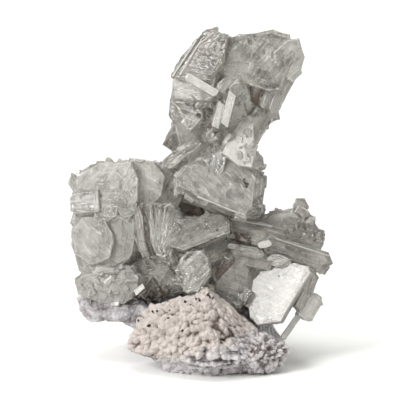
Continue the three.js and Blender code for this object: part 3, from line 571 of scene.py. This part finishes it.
def stacked(base, z, inset, shift, edge, axes, at, growth, material):
    """A closed solid from a stack of rings: point j of ring k is base[j] * (1 - inset[k] / half) + shift[k]
    at height z[k] along the plate's normal, where half is half the outline's size and no ring is less than
    0.04 of it. Its points carry their place along the growth lines ("lay") and their "finish": haze, stain
    and edge[k], from 1 on a bruised edge through 0 on a broad face to -1 on a side."""
    half = np.abs(base).max(0)
    shrink = np.clip(1 - np.asarray(inset)[:, None] / half[None, :], 0.04, None)
    flat = base[None] * shrink[:, None, :] + np.asarray(shift)[:, None, :]
    level = np.broadcast_to(np.asarray(z)[:, None, None], (*flat.shape[:2], 1))
    points = np.concatenate([flat, level], -1).reshape(-1, 3) @ axes + at
    middle, lines, offset, finish = growth
    lay = (points - middle) @ lines.T * MM + offset
    haze, stain = FINISHES[finish]
    haze += HAZE_SPREAD * (chance(at[0] + at[1], at[2]) - 0.5)
    rim = np.repeat(np.asarray(edge, float), len(base))
    kind = np.column_stack([np.tile([haze, stain], (len(points), 1)), rim])
    return new_object("plate", points, grid_faces(len(z), len(base)), material, lay=lay, finish=kind)


def crystal(row, seed, material):
    """One crystal of a row: bevelled steps, two to a layer, each a little narrower and to one side, and
    then low terraces on the front. A clear crystal has more and higher ones, and an inner one none."""
    at, angles, (length, width, thickness), habit, layers, finish = row
    steps = layers * 2
    step = thickness / steps
    bevel = min(BEVEL_OF_STEP * step, BEVEL_OF_WIDTH * width, BEVEL_MOST)
    base = jogged(outline(habit, length, width, seed), 3, JOG * width, seed)
    z, inset, shift, edge = [], [], [], []
    for i in range(steps):
        back = -thickness / 2 + i * step
        draw = STEP_DRAW * width * chance(seed, 40 + i) * (i < steps - 1)
        move = STEP_DRIFT * width * (chance(seed, [60 + i, 70 + i]) - 0.5)
        for level, extra, rim in ((0, bevel, 1), (bevel, 0, -1), (step - bevel, 0, -1), (step, bevel, 1)):
            z.append(back + level)
            inset.append(draw + extra)
            shift.append(move)
            edge.append(rim)
    bold = finish == "clear"
    for i in range(0 if habit == "inner" else 2 if bold else 1):
        inner = inset[-1] + TERRACE_RIM
        outer = inner + TERRACE_DRAW * width * (0.2 + chance(seed, 80 + i))
        drift = shift[-1] + TERRACE_DRIFT * width * (chance(seed, [84 + i, 88 + i]) - 0.5)
        rise = (TERRACE_RISE[0] + TERRACE_RISE[1] * chance(seed, 92 + i)) * (3 if bold else 1)
        inset += [inner, outer, outer + TERRACE_SLOPE]
        z += [z[-1], z[-1], z[-1] + rise]
        shift += [shift[-1], drift, drift]
        edge += [0, 0, 0.7]
    edge[-1] = 0.4
    return stacked(base, z, inset, shift, edge, pose(*angles), np.array(at), growth_of(row, seed), material)


def small_plate(size, axes, at, seed, growth, material):
    """A plain tablet bevelled on its front, for overgrowths and sprays."""
    length, width, thickness = size
    bevel = min(0.25 * thickness, 0.15 * width)
    base = tablet_corners(length, width, seed)
    z = [-thickness / 2, thickness / 2 - bevel, thickness / 2, thickness / 2]
    inset = [0, 0, bevel, bevel + 0.25 * (width / 2 - bevel)]
    return stacked(base, z, inset, np.zeros((4, 2)), [0.5, 0.5, 1, 0], axes, at, growth, material)


def overgrowths(row, seed, material):
    """Growth on one crystal, nearly parallel to it: hillocks that stand a little above its front face,
    round ones on a round crystal and tablets on others, and slivers along its rim."""
    at, angles, (length, width, thickness), habit, _, finish = row
    rng = np.random.default_rng(seed)
    axes = pose(*angles)
    growth = growth_of(row, seed)
    base = outline(habit, length, width, seed)
    nxt = np.roll(base, -1, 0)
    small = min(1, width / 8)  # slivers are smaller on crystals under 8 mm wide
    plain = finish in ("pearly", "satin")
    hillocks = 0 if plain or habit == "inner" else int(np.clip(length * width / HILLOCK_ROOM, 1, 5))
    around = np.linalg.norm(nxt - base, axis=1).sum()
    slivers = 0 if plain else int(np.clip(around / SLIVER_ROOM[habit == "blade"], 3, 24))
    made = []
    for i in range(hillocks):
        size = rng.uniform(0.12, 0.55)
        spot = base[rng.integers(len(base))] * (0.9 - size) * math.sqrt(rng.random())
        proud = rng.uniform(0.05, 0.16)
        tipped = leant(rolled(axes, rng.normal(0, 4)), rng, 0.9)
        centre = np.array([*spot, thickness / 2 + 0.2 + proud - HILLOCK_DEPTH / 2]) @ axes + at
        shape = outline("round" if habit == "round" else "tablet", length * size, width * size, seed + i)
        shape = jogged(shape * [1, rng.uniform(0.6, 1.1)], 2, 0.03 * width * size, seed + i)
        z = [-HILLOCK_DEPTH / 2, HILLOCK_DEPTH / 2 - 0.15, HILLOCK_DEPTH / 2, HILLOCK_DEPTH / 2]
        inset = [0, 0, 0.15, 0.5]
        rim = [0, 0.4, 1, 0]
        made.append(stacked(shape, z, inset, np.zeros((4, 2)), rim, tipped, centre, growth, material))
    for i in range(slivers):
        corner = rng.integers(len(base))
        spot = base[corner] + (nxt[corner] - base[corner]) * rng.random()
        along = math.degrees(math.atan2(*(nxt[corner] - base[corner])[::-1]))
        long = rng.uniform(1.5, 5) * small
        wide = long * rng.uniform(0.25, 0.55)
        deep = thickness * rng.uniform(0.15, 0.4)
        inward = spot / np.linalg.norm(spot) * (wide / 2 - rng.uniform(0.1, 0.5) * small)
        level = rng.uniform(-0.5, 0.45) * (thickness - deep)
        centre = np.array([*(spot - inward), level]) @ axes + at
        tipped = leant(rolled(axes, along + rng.normal(0, 6)), rng, 3)
        made.append(small_plate((long, wide, deep), tipped, centre, seed * 100 + i, growth, material))
    return made


def spray(row, seed, surface, material):
    """Small tablets standing on a surface, within an ellipsoid: each leans away from the surface by about
    the row's angle, points a random way along it, and is sunk by 0.3 of its thickness."""
    centre, reach, count, (shortest, longest), lean, finish = row
    rng = np.random.default_rng(seed)
    made = []
    for i in range(count):
        spot = rng.normal(size=3)
        spot *= rng.random() ** 0.4 / np.linalg.norm(spot)
        foot, out = grown_on(surface, np.array(centre) + spot * reach)
        length = shortest + (longest - shortest) * rng.random() ** 2
        size = (length, length * rng.uniform(0.45, 0.85), length * rng.uniform(0.2, 0.4))
        angle = math.radians(lean * rng.uniform(0.4, 1.5))
        along = np.cross(out, rng.normal(size=3))
        along /= np.linalg.norm(along)
        long = along * math.cos(angle) + out * math.sin(angle)
        flat = out * math.cos(angle) - along * math.sin(angle)
        turn = rng.normal(0, 0.5)
        normal = flat * math.cos(turn) + np.cross(long, flat) * math.sin(turn)
        axes = np.stack([long, np.cross(normal, long), normal])
        at = foot + out * (0.25 * length * math.sin(angle) - 0.3 * size[2])
        growth = (at, axes, PATTERN_STEP * (seed + i), finish)
        made.append(small_plate(size, axes, at, seed * 100 + i, growth, material))
    return made


def fracture(row, rng, material):
    """A thin lens of empty space inside a crystal, along its cleavage: rings of points at share r of the
    lens's wavy reach lie at height ± (1 - r^2) * half its thickness, on a gently bowed sheet. About half
    of the lenses stand across the plate, and the others lie along it."""
    at, angles, (length, width, thickness), _, _, finish = row
    axes = leant(rolled(pose(*angles), rng.uniform(0, 360)), rng, 7)
    reach = rng.uniform(0.12, 0.36) * width
    if rng.random() < 0.55:
        axes = axes[[0, 2, 1]] * [[1], [1], [-1]]
        reach = min(reach, 0.6 * thickness)
    angle = np.arange(CRACK_CORNERS) * 2 * np.pi / CRACK_CORNERS
    wave = 1 + 0.22 * np.sin(2 * angle + rng.uniform(0, 6)) + 0.12 * np.sin(5 * angle + rng.uniform(0, 6))
    r = np.array([0.35, 0.75, 1.0, 0.75, 0.35])
    side = np.array([-1, -1, 0, 1, 1])
    radius = reach * r[:, None] * wave[None, :]
    bow = 0.05 * radius**2 / reach * rng.uniform(-1, 1)
    height = side[:, None] * (1 - r[:, None] ** 2) * CRACK_HALF + bow
    narrow = rng.uniform(0.15, 0.8)
    local = np.stack([radius * np.cos(angle), radius * narrow * np.sin(angle), height], -1).reshape(-1, 3)
    centre = rng.uniform(-0.38, 0.38, 3) * [length, width, thickness] @ pose(*angles) + at
    kind = np.tile([*FINISHES[finish], 0.0], (len(local), 1))
    faces = grid_faces(len(r), CRACK_CORNERS)
    return new_object("crack", local @ axes + centre, faces, material, lay=local * MM, finish=kind)


def fan_rows():
    """The cockscomb fan's blades as crystal rows: their lengths follow the spread, and each stands a little
    before the one above it."""
    rows = []
    spread = np.array(FAN_SPREAD)[::-1]
    for i, angle in enumerate(np.linspace(spread[-1, 0], spread[0, 0], FAN_BLADES)):
        length = float(np.interp(angle, *spread.T)) * (0.94 + 0.08 * float(chance(7, i)))
        a = math.radians(angle)
        at = [
            FAN_ROOT[0] + length / 2 * math.cos(a),
            FAN_ROOT[1] - FAN_STEP * i - 0.8 * float(chance(9, i)),
            FAN_ROOT[2] + length / 2 * math.sin(a),
        ]
        rows.append([at, [FAN_TURN * math.cos(a), 8, angle], [length, *FAN_SECTION], "finger", 1, "clear"])
    return rows


# ---- rock shapes ----
def crags(points, seed):
    """Broken-rock relief at points in mm, about -1 to 1: the sum of sharp folded waves |sin(k.p + f)| whose
    lengths run from 12 mm down to 1.2 mm, each as tall as it is long."""
    waves = 36
    rng = np.random.default_rng(seed)
    length = np.geomspace(12, 1.2, waves)
    k = rng.normal(size=(waves, 3))
    k *= (2 * np.pi / length / np.linalg.norm(k, axis=1))[:, None]
    phase = rng.uniform(0, 2 * np.pi, waves)
    folded = 1 - 2 * np.abs(np.sin(points @ k.T / 2 + phase))
    return (folded * length).sum(1) / length.sum() * 2.2


def knobs(points, sizes, spacing, seed):
    """Height of a crust of rounded knobs at points in mm: the highest of many domes, each on a point chosen
    at random. A dome is radius * (0.85 + 0.4 x) * (1 - d^1.6)^0.6, where x, y and z are the place in its
    own turned axes as shares of its radius, and d is (|x|^1.3 + |y|^1.3 + |1.6 z|^1.3)^(1 / 1.3)."""
    rng = np.random.default_rng(seed)
    count = int(len(points) / spacing)
    seats = rng.choice(len(points), count, replace=False)
    radius = rng.uniform(*sizes, count)
    axes = np.linalg.qr(rng.normal(size=(count, 3, 3)))[0]
    height = np.zeros(len(points))
    for i, seat in enumerate(seats):
        off = points - points[seat]
        near = np.einsum("ij,ij->i", off, off) < radius[i] ** 2
        turned = off[near] @ axes[i].T / radius[i]
        d = (np.abs(turned * [1, 1, 1.6]) ** 1.3).sum(1) ** (1 / 1.3)
        dome = radius[i] * (0.85 + 0.4 * turned[:, 0]) * np.clip(1 - d**1.6, 0, None) ** 0.6
        height[near] = np.maximum(height[near], dome)
    return height


def rock_lump(row, seed, material, around, rings, relief=1.3, crust=None, grey=0.9, slope=0.0, foot=0.0):
    """An ellipsoid on a grid of longitude and latitude, wandering in and out by a sum of sines, with crags
    of up to relief mm and a crust of knobs: their least and largest radius, and how many points share one.
    At x mm right of its middle it is lower by slope * x^2 / (x + 4) of its height. It is greyer by foot
    below a line that rises to the right. Nothing goes below Z 0. Its points carry their "crust": height on
    their knob, and how grey they are."""
    centre, radii = row
    u = np.arange(around) * 2 * np.pi / around
    v = (np.arange(rings) + 0.5) * np.pi / rings
    level = np.repeat(-np.cos(v)[:, None], around, 1)
    p = np.stack([np.sin(v)[:, None] * np.cos(u), np.sin(v)[:, None] * np.sin(u), level], -1).reshape(-1, 3)
    wander = np.sin(5 * p[:, 0] + seed) + np.sin(6 * p[:, 1] + 2 * seed) + np.sin(7 * p[:, 2] + 3 * seed)
    verts = p * (1 + LUMP_ROUGHNESS / 2 * wander)[:, None] * radii + centre
    out = p / radii
    out /= np.linalg.norm(out, axis=1)[:, None]
    jut = crags(verts, seed)
    verts += out * (relief * (jut - 0.9))[:, None]
    height = 0.5 + 0.5 * jut
    if crust:
        sizes, spacing = crust
        dome = knobs(verts, sizes, spacing, seed)
        verts += out * (dome - CRUST_SUNK * sizes[1])[:, None]
        height = 0.3 * height + 0.7 * dome / (0.6 * sizes[1])
    right = verts[:, 0] - centre[0]
    beyond = np.maximum(right, 0)
    verts[:, 2] = np.maximum(verts[:, 2] * (1 - slope * beyond**2 / (beyond + SLOPE_EASE)), 0.0)
    low = np.clip(0.5 + (FOOT_LEVEL + FOOT_RISE * right - verts[:, 2]) / FOOT_BLEND, 0, 1)
    shade = np.column_stack([height, grey + foot * low, np.zeros(len(verts))])
    return new_object("lump", verts, grid_faces(rings, around), material, crust=shade)


def black_grains(surface, material):
    """Tiny grains half sunk in the crust, as one mesh of octahedra stretched and turned at random."""
    corners = np.array([[1, 0, 0], [0, 1, 0], [-1, 0, 0], [0, -1, 0], [0, 0, 1], [0, 0, -1]], float)
    sides = [[0, 1, 4], [1, 2, 4], [2, 3, 4], [3, 0, 4], [1, 0, 5], [2, 1, 5], [3, 2, 5], [0, 3, 5]]
    rng = np.random.default_rng(GRAIN_SEED)
    verts, faces = [], []
    for middle, reach, count in BLACK_GRAINS:
        for _ in range(count):
            foot, out = grown_on(surface, np.array(middle) + rng.normal(0, 0.5, 3) * reach)
            turn = np.linalg.qr(rng.normal(size=(3, 3)))[0]
            size = rng.uniform(0.25, 0.75) * np.array([1, rng.uniform(0.5, 1), rng.uniform(0.4, 0.9)])
            faces += [[corner + len(verts) * 6 for corner in side] for side in sides]
            verts.append((corners * size) @ turn * np.sign(np.linalg.det(turn)) + foot + 0.1 * out)
    return new_object("black_grains", np.concatenate(verts), faces, material)


# ---- materials ----
def new_material(name):
    """An empty material and its node tree."""
    material = bpy.data.materials.new(name)
    material.use_nodes = True
    material.node_tree.nodes.clear()
    return material, material.node_tree


def barite_material():
    """Barite, natural growth faces: glassy, colourless and see-through. It turns hazy where tiny inclusions
    crowd: in clouds, in veils along the growth lines, and in feathers, where a healed crack (a narrow band
    of a slow noise) runs through a cloud. A finish hazy all over shows these marks less. Bruised edges are
    white, and iron stain turns some crystals grey-brown. The sides are painted a little darker than the
    faces as shade, and the "shadow" finish paints crystals dark grey-brown as shade."""
    material, tree = new_material("natural_barite")
    finish = node(tree, "Attribute", attribute_name="finish").outputs["Vector"]
    hazy, stain_and_shade, edge = node(tree, "SeparateXYZ", {"Vector": finish}).outputs
    lay = node(tree, "Attribute", attribute_name="lay").outputs["Vector"]
    along = node(tree, "Mapping", {"Vector": lay}, Scale=(0.14, 1.0, 0.4))
    clouds = node(tree, "TexNoise", {"Vector": lay}, Scale=CLOUDS, Detail=7.0, Roughness=0.66)
    veils = node(tree, "TexNoise", {"Vector": along}, Scale=VEILS, Detail=4.0, Roughness=0.7)
    threads = node(tree, "TexNoise", {"Vector": along}, Scale=HEALED_CRACKS, Detail=2.0)
    dimples = node(tree, "TexNoise", {"Vector": lay}, Scale=DIMPLES, Detail=3.0, Roughness=0.6)

    centred = node(tree, "Math", {0: threads}, operation="SUBTRACT")
    centred.inputs[1].default_value = 0.5
    away = node(tree, "Math", {0: centred}, operation="ABSOLUTE")
    thread = node(tree, "MapRange", {"Value": away}, From_Max=0.014, To_Min=1.6, To_Max=0.0)
    cloud = node(tree, "MapRange", {"Value": clouds}, From_Min=0.44, From_Max=0.66, To_Max=0.42)
    veil = node(tree, "MapRange", {"Value": veils}, From_Min=0.36, From_Max=0.66, To_Min=-0.1, To_Max=0.3)
    bruise = node(tree, "MapRange", {"Value": edge}, To_Max=0.34)
    marks = node(tree, "Math", {0: thread, 1: cloud}, operation="MULTIPLY")
    for more in (cloud, veil, bruise):
        marks = node(tree, "Math", {0: marks, 1: more}, operation="ADD")
    share = node(tree, "MapRange", {"Value": hazy}, From_Max=0.4, To_Min=1.0, To_Max=0.25)
    haze = node(tree, "Math", {0: marks, 1: share, 2: hazy}, operation="MULTIPLY_ADD")
    clear = node(tree, "MapRange", {"Value": haze}, To_Min=0.98, To_Max=0.12)
    rough = node(tree, "MapRange", {"Value": haze}, To_Min=0.01, To_Max=0.38)

    # The stain darkens clouds towards grey-brown: iron stain in most finishes, painted shade in the
    # "shadow" finish.
    stain = node(tree, "Math", {0: stain_and_shade, 1: clouds}, operation="MULTIPLY")
    depth = node(tree, "MapRange", {"Value": stain}, From_Max=0.55)
    # Painted shade: the sides of a plate (edge -1) are mixed up to 0.35 towards dark grey-brown, as if in
    # shade.
    side = node(tree, "MapRange", {"Value": edge}, From_Max=-1.0, To_Max=0.35)
    dark = node(tree, "Math", {0: depth, 1: side}, operation="ADD")
    ends = {"A": srgb("#d3d1cb"), "B": srgb("#604f43")}
    colour = node(tree, "Mix", {"Factor": dark}, data_type="RGBA", **ends).outputs[2]
    relief = node(tree, "Math", {0: veils, 1: dimples}, operation="ADD")
    bump = node(tree, "Bump", {"Height": relief}, Strength=1.0, Distance=0.3 * MM)
    inputs = {"Base Color": colour, "Normal": bump, "Roughness": rough, "Transmission Weight": clear}
    surface = node(tree, "BsdfPrincipled", inputs, IOR=1.636)
    volume = node(tree, "VolumeAbsorption", Color=srgb("#cbc8be"), Density=35.0)
    node(tree, "OutputMaterial", {"Surface": surface, "Volume": volume})
    return material


def dolomite_material():
    """Dolomite, natural: pearly cream knobs with painted shade in the hollows between them, passing into
    lilac-grey rock, with a fine cleavage grain that breaks up the shine. A point's tone is its height on
    its knob plus two noises, and low points are painted darker as shade."""
    material, tree = new_material("natural_dolomite")
    crust = node(tree, "Attribute", attribute_name="crust").outputs["Vector"]
    knob, greyness, _ = node(tree, "SeparateXYZ", {"Vector": crust}).outputs
    place = node(tree, "TexCoord").outputs["Object"]
    patches = node(tree, "TexNoise", {"Vector": place}, Scale=PATCHES, Detail=6.0)
    grain = node(tree, "TexNoise", {"Vector": place}, Scale=CLEAVAGE_GRAIN, Detail=5.0)
    level = patches
    for more in (grain, knob):
        level = node(tree, "Math", {0: level, 1: more}, operation="ADD")
    height = node(tree, "MapRange", {"Value": level}, From_Min=1.0, From_Max=1.95)
    # Painted shade: each ramp runs from a dark hollow colour low on a knob or crag to the rock's own tone
    # on top.
    cream, grey = ("#5a4d45", "#aea59f", 0.66), ("#746d6c", "#c8c6ca", 0.6)
    tones = {"Factor": greyness}
    for end, (hollow, ridge, reached) in (("A", cream), ("B", grey)):
        tones[end] = node(tree, "ValToRGB", {"Fac": height})
        low, high = tones[end].color_ramp.elements
        low.color, high.color, high.position = srgb(hollow), srgb(ridge), reached
    colour = node(tree, "Mix", tones, data_type="RGBA").outputs[2]
    bump = node(tree, "Bump", {"Height": grain}, Strength=1.0, Distance=0.4 * MM)
    surface = node(tree, "BsdfPrincipled", {"Base Color": colour, "Normal": bump}, Roughness=0.5)
    node(tree, "OutputMaterial", {"Surface": surface})
    return material


def sulphide_material():
    """Marcasite grains, natural and tarnished: small, black, with a dull metallic sheen."""
    material, tree = new_material("tarnished_marcasite")
    place = node(tree, "TexCoord").outputs["Object"]
    tarnish = node(tree, "TexNoise", {"Vector": place}, Scale=TARNISH, Detail=3.0)
    rough = node(tree, "MapRange", {"Value": tarnish}, To_Min=0.3, To_Max=0.6)
    surface = node(tree, "BsdfPrincipled", {"Roughness": rough}, Base_Color=srgb("#2c2723"), Metallic=0.6)
    node(tree, "OutputMaterial", {"Surface": surface})
    return material


def paper_material():
    """Photographer's background paper, matt and uncoated: soft light, no shine."""
    material, tree = new_material("pale_paper")
    surface = node(tree, "BsdfPrincipled", Base_Color=srgb("#ececea"), Roughness=0.8)
    node(tree, "OutputMaterial", {"Surface": surface})
    return material


# ---- build ----
barite = barite_material()
dolomite = dolomite_material()
rows = CRYSTALS + fan_rows()
rows += [[at, angles, [length, *SLIVER_SECTION], "blade", 1, "satin"] for at, angles, length in SLIVERS]
parts = [crystal(row, i + 1, barite) for i, row in enumerate(rows)]
parts += [plate for i, row in enumerate(rows) for plate in overgrowths(row, i + 1, barite)]
body = combined("crystal_body", parts, [], barite)
body_surface = surface_of(body)
parts = [
    plate for i, row in enumerate(SPRAYS) for plate in spray(row, i + SPRAY_SEED, body_surface, barite)
]
# Big crystals hold more cracks, clear ones show them best, and inner ones are left whole.
weights = np.array(
    [np.prod(row[2]) * (row[3] != "inner") * (3 if row[5] == "clear" else 1) for row in rows]
)
picker = np.random.default_rng(CRACK_SEED)
picks = picker.choice(len(rows), FRACTURES, p=weights / weights.sum())
cracks = [fracture(rows[k], picker, barite) for k in picks]
crystals = combined("barite_crystals", [body, *parts], cracks, barite)
drop_crumbs(crystals, CRUMB)
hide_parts("barite_cluster")
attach(crystals, "root")

lumps = [rock_lump(row, i + 3, dolomite, 96, 54, relief=1.4) for i, row in enumerate(FOOTING)]
lumps += [
    rock_lump(NODULE, 1, dolomite, 330, 200, crust=NODULE_CRUST, grey=0.0, slope=NODULE_SLOPE, foot=0.6),
    rock_lump(NODULE_FOOT, 2, dolomite, 160, 96, crust=FOOT_CRUST, grey=0.5),
]
hollows = [rock_lump(row, i + 9, dolomite, 48, 28, relief=0.4) for i, row in enumerate(HOLLOWS)]
rock = combined("rock", lumps, hollows, dolomite)
drop_crumbs(rock, CRUMB)
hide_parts("matrix")
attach(rock, "root")

grains = black_grains(surface_of(rock, crystals), sulphide_material())
bpy.context.scene.collection.objects.link(grains)
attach(grains, "root")


# ---- stage ----
def sweep(half_width=3.0, front=-2.5, bend_at=0.45, radius=0.35, top=2.2, steps=24):
    """Floor and backdrop in one sheet: a profile of straight floor, quarter circle and straight wall,
    carried across in X."""
    angle = np.linspace(0, math.pi / 2, steps)
    y = np.concatenate([[front], bend_at + radius * np.sin(angle), [bend_at + radius]])
    z = np.concatenate([[0], radius * (1 - np.cos(angle)), [top]])
    n = len(y)
    verts = np.concatenate([np.stack([np.full(n, x), y, z], -1) for x in (-half_width, half_width)])
    faces = [[i, i + n, i + n + 1, i + 1] for i in range(n - 1)]
    mesh = bpy.data.meshes.new("backdrop")
    mesh.from_pydata(verts.tolist(), [], faces)
    mesh.shade_smooth()
    mesh.materials.append(paper_material())
    shown("backdrop", mesh)


sweep()
aim = Vector((np.array(CAMERA_AIM) - FOOTPRINT_MIDDLE) * MM)


def aimed(name, data, at):
    """A camera or light in the scene, at a place in metres and turned to the specimen's middle."""
    made = shown(name, data)
    made.location = at
    made.rotation_euler = (aim - made.location).to_track_quat("-Z", "Y").to_euler()
    return made


elevation = math.radians(CAMERA_ELEVATION)
lens = bpy.data.cameras.new("camera")
lens.sensor_width = SENSOR_MM
lens.lens = SENSOR_MM * CAMERA_DISTANCE / (MM_PER_PIXEL * FRAME_PIXELS)
back = Vector((0, -math.cos(elevation), math.sin(elevation)))
bpy.context.scene.camera = aimed("camera", lens, aim + CAMERA_DISTANCE * MM * back)

for name, at, size, power in SOFT_BOXES:
    light = bpy.data.lights.new(name, "AREA")
    light.shape = "RECTANGLE"
    light.size, light.size_y = size
    light.energy = power
    aimed(name, light, at)

# Soft studio light from all round, bright overhead and dim below.
world = bpy.data.worlds.new("studio")
bpy.context.scene.world = world
world.use_nodes = True
world.node_tree.nodes.clear()
direction = node(world.node_tree, "TexCoord").outputs["Generated"]
up = node(world.node_tree, "SeparateXYZ", {"Vector": direction}).outputs["Z"]
shade = node(world.node_tree, "ValToRGB", {"Fac": up})
low, high = shade.color_ramp.elements
low.color, high.color, high.position = srgb("#2c2c2b"), srgb("#f6f6f4"), 0.75
sky = node(world.node_tree, "Background", {"Color": shade}, Strength=0.62)
node(world.node_tree, "OutputWorld", {"Surface": sky})

scene = bpy.context.scene
scene.cycles.max_bounces = 24
scene.cycles.transmission_bounces = 20
scene.cycles.glossy_bounces = 8
scene.view_settings.view_transform = "Standard"
